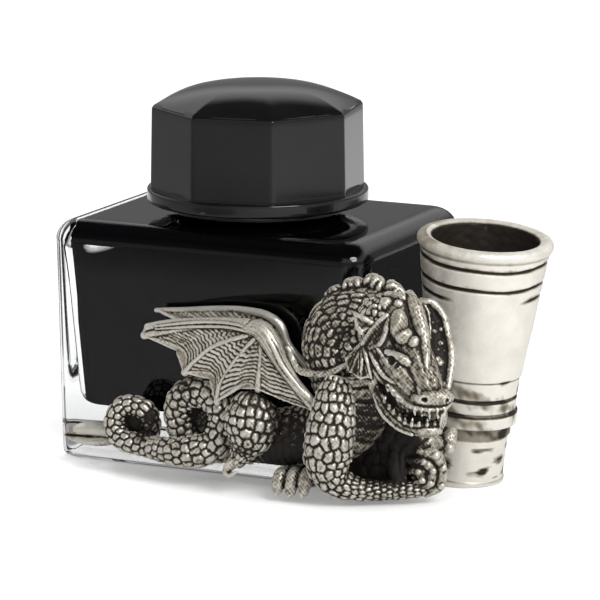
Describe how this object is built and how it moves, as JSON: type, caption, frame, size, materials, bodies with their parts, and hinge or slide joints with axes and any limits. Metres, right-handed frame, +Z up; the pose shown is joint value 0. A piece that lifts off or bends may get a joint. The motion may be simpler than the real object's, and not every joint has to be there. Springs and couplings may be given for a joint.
{
  "type": "ink bottle",
  "caption": "Square glass ink bottle with an octagonal screw cap, and a cast pewter dragon and pen cup bonded to its front.",
  "frame": {"origin": "centre of the bottle's flat underside, on the table", "axes": "+Z up along the screw cap's axis, +X along the bottle's front face towards the pen cup, -Y out of the front face"},
  "size_m": [0.0907, 0.0627, 0.0673],
  "materials": {
    "clear_glass": "thick clear moulded glass, polished",
    "black_ink": "liquid black ink",
    "black_cap": "glossy moulded black plastic",
    "liner_foam": "pale closed-cell sealing disc",
    "pewter_polished": "cast pewter, burnished, dark patina in the grooves and bore",
    "pewter_antique": "cast pewter, antiqued: bright high spots over a black patina",
    "bond_foam": "thin double-sided adhesive foam"
  },
  "bodies": {
    "bottle": {"glass_bottle": "clear_glass", "ink_fill": "black_ink", "pen_cup": "pewter_polished", "dragon_torso": "pewter_antique", "dragon_neck": "pewter_antique", "dragon_head": "pewter_antique", "dragon_near_wing": "pewter_antique", "dragon_near_foreleg": "pewter_antique", "dragon_far_foreleg": "pewter_antique", "dragon_hind_leg": "pewter_antique", "dragon_tail_coil": "pewter_antique", "dragon_tail_end": "pewter_antique", "dragon_far_wing": "pewter_antique", "torso_bond_pad": "bond_foam", "neck_bond_pad": "bond_foam", "tail_bond_pad": "bond_foam"},
    "liner": {"cap_liner": "liner_foam"},
    "cap": {"cap_shell": "black_cap"}
  },
  "joints": [
    {"name": "cap_lift", "type": "slide", "parent": "bottle", "child": "liner", "axis": [0, 0, 1], "range_m": [0, 0.0162]},
    {"name": "cap_turn", "type": "hinge", "parent": "liner", "child": "cap", "pos_m": [0, 0, 0.054], "axis": [0, 0, 1], "range_deg": [0, 1440]}
  ],
  "couplings": [
    {"joint": "cap_lift", "follows": "cap_turn", "m_per_rad": 0.00063662}
  ]
}
